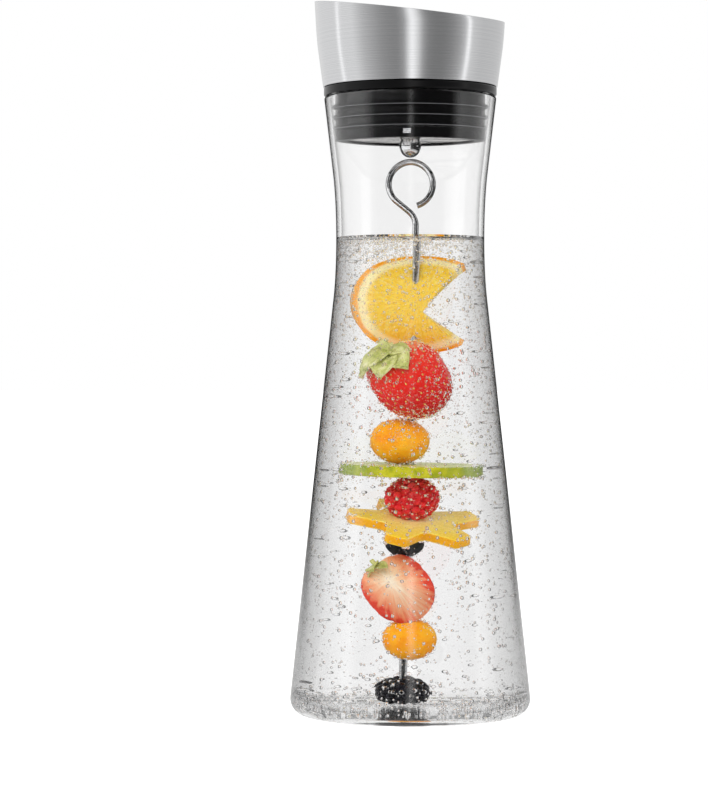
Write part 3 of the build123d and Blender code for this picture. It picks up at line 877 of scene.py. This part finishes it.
half_length, core_height, core_width, core_length = 0.025, 0.0052, 0.0098, 0.0230
half_place, half_turn = on_stem(0.0450, -0.002, 0.0045), (0, stem_lean - math.radians(38), 0)
half, seeds = strawberry("strawberry_cut", half_length, radius=0.0112, calyx=0.0028, seed_count=130, half=True)
finish, local, red_skin = strawberry_finish("strawberry_flesh", half_place, half_turn, half_length)
tree = local.tree
x, y, z = split(local)
wide = abs(x) / core_width
tall = (z - core_height) / core_length
out = (wide * wide + tall * tall).maths("SQRT")
veins = noise(Signal(add_node(tree, "Mapping", {"Vector": local, "Scale": (1.0, 1.0, 0.25)})), 700.0, 3.0, 0.6)
spread = Signal(add_node(tree, "CombineXYZ", {0: tall.maths("ARCTAN2", wide) * 9.0, 1: out * 1.2}))
out = stir(stir(out, veins, 0.35), noise(spread, 1.0, 2.0), 0.9)
flesh = ramp(out, [
    (0.0, 255, 242, 220), (0.22, 254, 222, 188), (0.5, 254, 192, 150), (0.78, 252, 160, 116),
    (0.95, 246, 112, 80), (1.0, 234, 70, 48),
])
flesh = skin(flesh, veins * 0.3 + 0.2, veins, 0.4, 0.0002)
show(mix_shader(y < 0.00012, red_skin, flesh))
half.data.materials.append(finish)
seeds.data.materials.append(straw_seed)
half = join("strawberry_cut", half, seeds)
seat(half, half_place, half_turn)
for vert in half.data.vertices:
    front = min(1.0, max(0.0, -vert.co.y / 0.0045))
    vert.co.x = half_place.x + (vert.co.x - half_place.x) * (1 - 0.04 * front)
    vert.co.z = half_place.z + (vert.co.z - half_place.z) * (1 + 0.12 * front)
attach(half, "skewer")
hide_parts("strawberry_half")
cap_place = half_place + Euler(half_turn).to_matrix() @ Vector((0, 0, 1)) * 0.0124
leaf_cap("strawberry_cut_cap", "half_strawberry_leaves", 0.0066, 6, cap_place, half_turn, seed=4)

# Starfruit slice: a five-pointed slice with a thin waxy golden skin round wet, glassy yellow flesh.
star_radius, notch_radius, star_depth, point_half_angle = 0.022, 0.0115, 0.0040, 10.5
star_place = on_stem(0.07218, 0.0019)
star_turn = Euler(upright_on_stem).to_matrix() @ Euler((math.radians(19), 0, 0)).to_matrix()
star_turn = (star_turn @ Euler((0, math.radians(9), 0)).to_matrix()).to_euler()
star = make("star_slice", "circle", vertices=15, radius=star_radius, fill_type="NGON",
            location=(0, 0, -star_depth / 2))
for index, vert in enumerate(sorted(star.data.vertices, key=lambda v: math.atan2(v.co.y, v.co.x))):
    angle = math.radians(37 + 72 * (index // 3) + (-point_half_angle, point_half_angle, 36)[index % 3])
    vert.co = polar((star_radius, star_radius, notch_radius)[index % 3], angle, vert.co.z)
bpy.ops.object.transform_apply()
edit_all()
bpy.ops.mesh.bevel(offset=0.0016, segments=4, affect="VERTICES")
take_all()
bpy.ops.mesh.normals_make_consistent(inside=False)
bpy.ops.mesh.extrude_region_move(TRANSFORM_OT_translate={"value": (0, 0, star_depth)})
take_all()
bpy.ops.mesh.normals_make_consistent(inside=False)
edit_done()
modify(star, "BEVEL", width=0.0004, segments=3, angle_limit=math.radians(60))
smooth(50)
finish, tree = new_finish("starfruit_flesh")
local = bench_coords(tree, star_place, star_turn)
far = polar_parts(local)[0]
cells = noise(local, 900.0, 4.0)
blotch = noise(local, 140.0, 3.0)
flesh = ramp(stir(far / star_radius, blotch, 0.5), [
    (0.1, 254, 236, 160), (0.5, 254, 224, 108), (0.95, 250, 206, 50),
])
waxy = ramp(blotch, [(0.3, 236, 162, 0), (0.7, 249, 184, 2)])
colour = blend(abs(split(local)[2]) < 0.0016, flesh, waxy)
show(skin(colour, cells * 0.2 + 0.16, cells, 0.4, 0.00015, {
    "Subsurface Weight": 0.25, "Subsurface Radius": (0.004, 0.003, 0.001), "Subsurface Scale": 1.0,
}))
star.data.materials.append(finish)
seat(star, star_place, star_turn)
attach(star, "skewer")
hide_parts("starfruit_slice")


# Lime slice: a flat round, pitted and bright green round its rim, with a pale pith ring and wet segments.
def segment_walls(around):
    """From 0 at the walls between the ten segments of a citrus fruit to 1 between them."""
    return abs((around * 5.0).maths("SINE"))


lime_radius, lime_depth = 0.0226, 0.0045
lime_place = on_stem(0.09464, 0.0004)
lime = make("lime_round", "cylinder", vertices=128, radius=lime_radius, depth=lime_depth)
edit_all()
bpy.ops.mesh.bevel(offset=0.0005, segments=3, affect="EDGES")
edit_done()
smooth(40)
finish, tree = new_finish("lime_flesh")
local = bench_coords(tree, lime_place, upright_on_stem)
far, around = polar_parts(local)
share = far / lime_radius
blotch = noise(local, 230.0, 4.0)
pits = Signal(add_node(tree, "TexVoronoi", {"Vector": local, "Scale": 1100.0}), "Distance")
pulp = ramp(blotch, [(0.3, 178, 196, 84), (0.7, 214, 222, 130)])
pulp = blend((segment_walls(around) < 0.10) * (share < 0.86), pulp, tone(232, 236, 190))
pulp = blend(ramp(share, [(0.855, 0.0), (0.87, 1.0)]), pulp, tone(228, 236, 180))
rind = ramp(blotch, [(0.28, 144, 156, 4), (0.5, 190, 188, 12), (0.72, 222, 216, 48)])
# Painted shade: the rind is darker green towards its left and right ends than in its middle.
painted_shade_ends = ramp(abs(split(local)[0]) / lime_radius, [(0.5, 0.0), (0.95, 0.7)])
rind = blend(painted_shade_ends, rind, tone(112, 146, 6))
colour = blend(ramp(share, [(0.945, 0.0), (0.965, 1.0)]), pulp, rind)
show(skin(colour, blotch * 0.3 + 0.18, pits, 0.5, 0.0002))
lime.data.materials.append(finish)
seat(lime, lime_place, upright_on_stem)
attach(lime, "skewer")
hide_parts("lime_slice")

# Orange slice: a thick round with a wedge missing, threaded on the stem near its top and its middle, so that
# it curls back at both ends. Orange rind, pale pith and wet golden flesh in segments.
orange_place = on_stem(0.16449, 0.0019)
slice_radius, slice_depth, curl_radius, bulge, drop = 0.0225, 0.0045, 0.033, 0.0031, 0.0032
wedge, wedge_from, wedge_to = Vector((0.0006, -0.0042, 0)), -47, 62
orange = make("orange_round", "circle", vertices=144, radius=slice_radius, fill_type="NOTHING")
edit_all()
before = 1.0
for share in (0.985, 0.95, 0.91, 0.87, 0.83, 0.76, 0.68, 0.58, 0.48, 0.38, 0.28, 0.18, 0.09, 0.04):
    bpy.ops.mesh.extrude_region_move(TRANSFORM_OT_translate={"value": (0, 0, 0)})
    bpy.ops.transform.resize(value=(share / before, share / before, 1), center_override=(0, 0, 0))
    before = share
bpy.ops.mesh.merge(type="CENTER")
for angle in (math.radians(wedge_from), math.radians(wedge_to)):
    take_all()
    bpy.ops.mesh.bisect(plane_co=wedge, plane_no=(-math.sin(angle), math.cos(angle), 0))
edit = bmesh.from_edit_mesh(orange.data)
for face in edit.faces:
    place = face.calc_center_median() - wedge
    face.select = wedge_from < math.degrees(math.atan2(place.y, place.x)) < wedge_to
bmesh.update_edit_mesh(orange.data)
bpy.ops.mesh.select_mode(type="FACE")
bpy.ops.mesh.delete(type="FACE")
bpy.ops.mesh.select_mode(type="VERT")
take_all()
bpy.ops.mesh.normals_make_consistent(inside=False)
edit_done()
if orange.data.polygons[0].normal.z < 0:
    orange.data.flip_normals()
modify(orange, "SOLIDIFY", thickness=slice_depth, offset=-1)
modify(orange, "BEVEL", width=0.0005, segments=3, angle_limit=math.radians(60))
settle(orange)
flat = orange.data.attributes.new("flat_slice", "FLOAT_VECTOR", "POINT")
start = curl_radius * math.asin(drop / curl_radius)
for index, vert in enumerate(orange.data.vertices):
    flat.data[index].vector = vert.co
    bend = (vert.co.y + start) / curl_radius
    reach = curl_radius + vert.co.z
    vert.co = (vert.co.x, curl_radius - bulge - reach * math.cos(bend), reach * math.sin(bend) - drop)
smooth(40)
finish, tree = new_finish("orange_flesh")
local = Signal(add_node(tree, "Attribute", attribute_name="flat_slice"), "Vector")
far, around = polar_parts(local)
blotch = noise(local, 170.0, 4.0)
share = stir(far / slice_radius, blotch, 0.05)
spread = Signal(add_node(tree, "CombineXYZ", {0: around * 14.0, 1: far * 420.0}))
sacs = noise(spread, 1.0, 3.0, 0.4)
pulp = ramp(sacs, [(0.28, 238, 188, 36), (0.5, 248, 206, 66), (0.75, 254, 226, 112)])
pulp = blend(ramp(segment_walls(around), [(0.02, 0.55), (0.12, 0.0)]), pulp, tone(250, 220, 140))
colour = blend(ramp(share, [(0.76, 0.0), (0.83, 1.0)]), pulp, tone(255, 236, 172))
rind = ramp(blotch, [(0.3, 252, 152, 0), (0.7, 255, 180, 10)])
colour = blend(ramp(share, [(0.905, 0.0), (0.945, 1.0)]), colour, rind)
show(skin(colour, sacs * 0.3 + 0.2, sacs, 0.5, 0.0002, {
    "Subsurface Weight": 0.2, "Subsurface Radius": (0.004, 0.002, 0.0006), "Subsurface Scale": 1.0,
}))
orange.data.materials.append(finish)
seat(orange, orange_place, upright_on_stem)
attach(orange, "skewer")
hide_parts("orange_slice")

# Bubbles: fine gas bubbles that cling to the glass, to the stem and to every fruit, thickest round the foot
# and under the surface. Each is a small round hollow in the water. Their sizes are radii in millimetres.
bubble_air, tree = new_finish("bubble_air")
see_through(add_node(tree, "BsdfPrincipled", {
    "Base Color": clear, "Roughness": 0.0, "IOR": 0.752, "Transmission Weight": 1.0,
}), 1.0)
millimetre = 0.001
bubble = make("bubble", "uv_sphere", segments=8, ring_count=6, radius=millimetre)
fizz = small_ball("fizz", millimetre, 1)
waist_radius, waist_height = inner_corners[1][:2]
foot_radius, foot_height, foot_bend = inner_corners[2][:3]
bend_reach, bend_top = 0.0483, 0.0092


def glass_reach(height):
    """Inner radius of the carafe's wall at a height."""
    if height < bend_top:
        return bend_reach - foot_bend + math.sqrt(max(0.0, foot_bend ** 2 - (bend_top - height) ** 2))
    slope = (foot_radius - waist_radius) / (waist_height - foot_height)
    return foot_radius - (height - foot_height) * slope + 0.0015 * max(0.0, (height - 0.174) / 0.026) ** 2


def bubble_place(spot, size, chance):
    """One bubble, a little flattened and turned."""
    spin = Euler((chance.uniform(0, 3), chance.uniform(0, 3), 0))
    return Matrix.LocRotScale(Vector(spot), spin, Vector((size, size * chance.uniform(0.9, 1.0), size)))


def on_wall(height, angle, size, chance):
    """One bubble that clings to the glass."""
    reach = glass_reach(height) - 0.0005 - size * millimetre * 0.75
    return bubble_place(polar(reach, angle, height), size, chance)


def bubble_field(name, body, source, places):
    """Copies a bubble to many places in one mesh."""
    points, faces = [], []
    for place in places:
        start = len(points)
        points.extend(place @ vert.co for vert in source.data.vertices)
        faces.extend([start + corner for corner in face.vertices] for face in source.data.polygons)
    field = bpy.data.objects.new(name, bpy.data.meshes.new(name))
    field.data.from_pydata(points, [], faces)
    field.data.shade_smooth()
    field.data.materials.append(bubble_air)
    scene.collection.objects.link(field)
    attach(field, body)


fruit = [whole, raspberry, bramble, half, lime, star, orange, blue, golden_small, golden_large]
solids = [
    BVHTree.FromPolygons([vert.co for vert in mesh.vertices], [face.vertices for face in mesh.polygons])
    for mesh in [piece.data for piece in [*fruit, nodes["fruit_skewer"]]]
]
swing_radius, swing_room = 0.00475, 0.0011


def in_the_way(spot):
    """True where the skewer or its fruit passes when the flap tips with the lid on."""
    for step in range(6):
        tip = math.radians(15 * step)
        moved = spot - Vector((0, swing_radius * math.sin(tip), swing_radius * (1 - math.cos(tip))))
        for solid in solids:
            near, normal, _, away = solid.find_nearest(moved)
            if away < swing_room or normal.dot(moved - near) < 0:
                return True
    return False


full_circle = 2 * math.pi
chance = random.Random(21)
for name, lowest, highest in (("wall_bubbles_low", 0.008, 0.100), ("wall_bubbles_high", 0.095, 0.195)):
    places = []
    for index in range(2200):
        angle = chance.uniform(math.pi, full_circle) if chance.random() < 0.7 else chance.uniform(0, math.pi)
        size = 0.2 + (0.65 if abs(math.cos(angle)) < 0.8 else 0.2) * chance.random() ** 3
        places.append(on_wall(chance.uniform(lowest, highest), angle, size, chance))
    bubble_field(name, "carafe", bubble, places)
places = []
for index in range(2200):
    angle = chance.gauss(0, 0.42) + (math.pi if index % 2 else 0)
    places.append(on_wall(chance.uniform(0.008, 0.195), angle, 0.25 + 0.6 * chance.random() ** 2, chance))
bubble_field("edge_bubbles", "carafe", bubble, places)
places = []
for index in range(4000):
    angle = chance.uniform(math.pi, full_circle)
    places.append(on_wall(0.196 - 0.08 * chance.random() ** 1.6, angle, chance.uniform(0.14, 0.24), chance))
bubble_field("wall_fizz", "carafe", fizz, places)

floor_height, bend_start = 0.0040, 0.041
places = []
for index in range(300):
    reach = 0.0455 * math.sqrt(chance.random())
    angle = chance.uniform(0, full_circle)
    if reach * abs(math.cos(angle)) < 0.010 and math.sin(angle) < 0.3:
        continue
    size = 0.35 + 0.75 * chance.random() ** 2
    height = floor_height + size * 0.0008
    if reach > bend_start:
        height += (reach - bend_start) * chance.uniform(0.6, 1.4)
    places.append(bubble_place(polar(reach, angle, height), size, chance))
for index in range(300):
    height = 0.0048 + 0.010 * chance.random() ** 1.5
    size = 0.3 + 0.7 * chance.random() ** 2
    places.append(on_wall(height, chance.uniform(0, full_circle), size, chance))
bubble_field("foot_bubbles", "carafe", bubble, places)

places = []
for index in range(2600):
    height = 0.012 + 0.184 * chance.random() ** 0.6
    reach = (glass_reach(height) - 0.002) * math.sqrt(chance.random())
    angle = chance.uniform(0, full_circle)
    size = 0.1 + 0.25 * chance.random() ** 2
    places.append(bubble_place(polar(reach, angle, height), size, chance))
for index in range(1400):
    reach = 0.0268 * math.sqrt(chance.random())
    angle = chance.uniform(0, full_circle)
    size = 0.15 + 0.5 * chance.random() ** 2
    height = water_level - 0.0012 - size * millimetre - 0.010 * chance.random() ** 3
    places.append(bubble_place(polar(reach, angle, height), size, chance))
bubble_field("rising_fizz", "carafe", fizz, [place for place in places if not in_the_way(place.translation)])

counts_and_sizes = (
    (1100, 0.26, 0.6), (360, 0.2, 0.5), (120, 0.5, 1.3), (130, 0.2, 0.5), (260, 0.2, 0.8), (200, 0.2, 0.7),
    (200, 0.18, 0.6), (60, 0.2, 0.6), (200, 0.2, 0.6), (230, 0.2, 0.55),
)
places = []
for piece, (count, smallest, largest) in zip(fruit, counts_and_sizes):
    verts = piece.data.vertices
    for index in range(count):
        vert = verts[chance.randrange(len(verts))]
        size = smallest + (largest - smallest) * chance.random() ** 1.8
        places.append(bubble_place(vert.co + vert.normal * size * 0.0008, size, chance))
stem_radius = 0.00125
for index in range(200):
    height = chance.uniform(0.002, 0.190)
    if 0.150 < height < 0.178:
        continue
    angle = chance.uniform(0, full_circle)
    size = chance.uniform(0.2, 0.55)
    reach = stem_radius + size * 0.0008
    places.append(bubble_place(on_stem(height, reach * math.cos(angle), reach * math.sin(angle)), size, chance))
half_way = len(places) // 2
bubble_field("fruit_bubbles_low", "skewer", bubble, places[:half_way])
bubble_field("fruit_bubbles_high", "skewer", bubble, places[half_way:])
bpy.data.objects.remove(bubble)
bpy.data.objects.remove(fizz)
